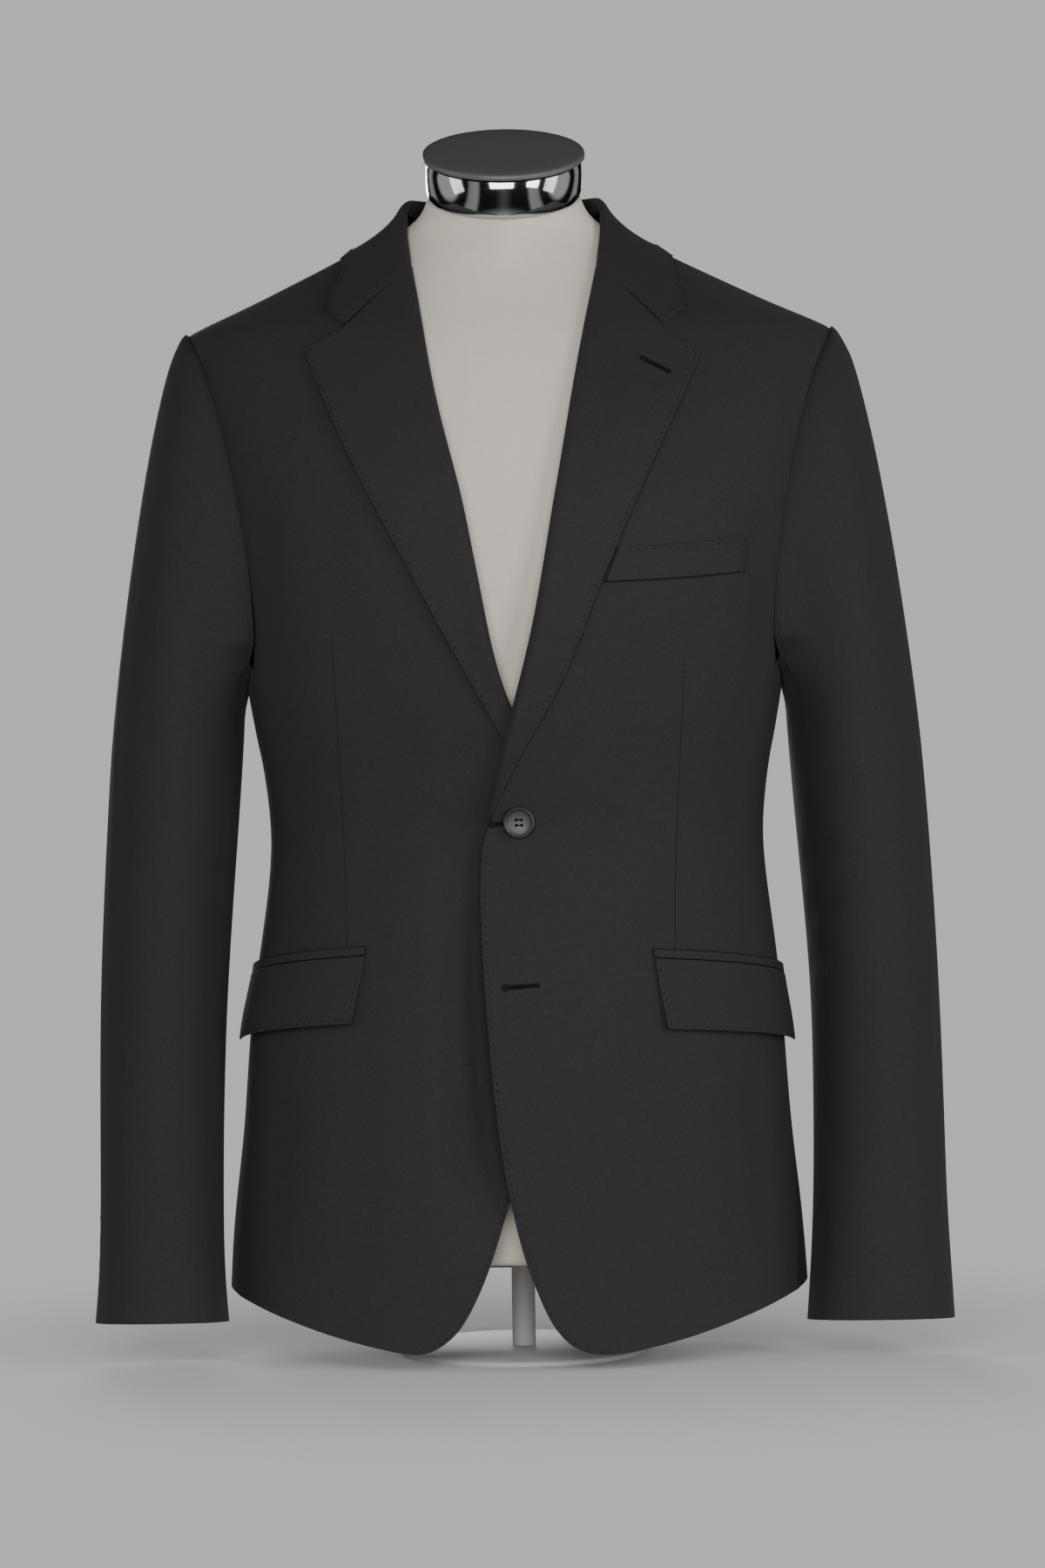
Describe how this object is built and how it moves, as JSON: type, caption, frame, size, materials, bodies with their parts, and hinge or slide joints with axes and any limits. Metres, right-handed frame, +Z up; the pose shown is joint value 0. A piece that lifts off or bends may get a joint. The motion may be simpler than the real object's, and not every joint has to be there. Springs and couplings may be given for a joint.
{
  "type": "business suit jacket on dress form",
  "caption": "Dark single-breasted business suit jacket with notch lapels, flap pockets and a breast welt, worn by a limbless dress form on a short stand",
  "frame": {"origin": "middle of the stand foot's underside, on the floor", "axes": "+Z up through the neck, the jacket's front faces -Y, +X is the wearer's left"},
  "size_m": [0.5839, 0.2518, 0.847],
  "materials": {
    "suit_cloth": "fine worsted wool, charcoal black",
    "button_plastic": "satin dark grey resin",
    "form_jersey": "cream jersey cover, stretched smooth",
    "ring_chrome": "polished plate",
    "cap_plastic": "satin moulded dark grey",
    "stand_paint": "pale grey satin paint"
  },
  "bodies": {
    "root": {"front_left": "suit_cloth", "front_right": "suit_cloth", "side_left": "suit_cloth", "side_right": "suit_cloth", "back_left": "suit_cloth", "back_right": "suit_cloth", "lapel_left": "suit_cloth", "lapel_right": "suit_cloth", "collar": "suit_cloth", "top_sleeve_left": "suit_cloth", "top_sleeve_right": "suit_cloth", "under_sleeve_left": "suit_cloth", "under_sleeve_right": "suit_cloth", "jet_left": "suit_cloth", "jet_right": "suit_cloth", "flap_left": "suit_cloth", "flap_right": "suit_cloth", "breast_welt": "suit_cloth", "button_front": "button_plastic", "button_lower": "button_plastic", "cuff_button_left_1": "button_plastic", "cuff_button_left_2": "button_plastic", "cuff_button_left_3": "button_plastic", "cuff_button_right_1": "button_plastic", "cuff_button_right_2": "button_plastic", "cuff_button_right_3": "button_plastic", "form_torso": "form_jersey", "neck_ring": "ring_chrome", "neck_cap": "cap_plastic", "stand_pole": "stand_paint", "stand_foot": "stand_paint"}
  },
  "joints": []
}
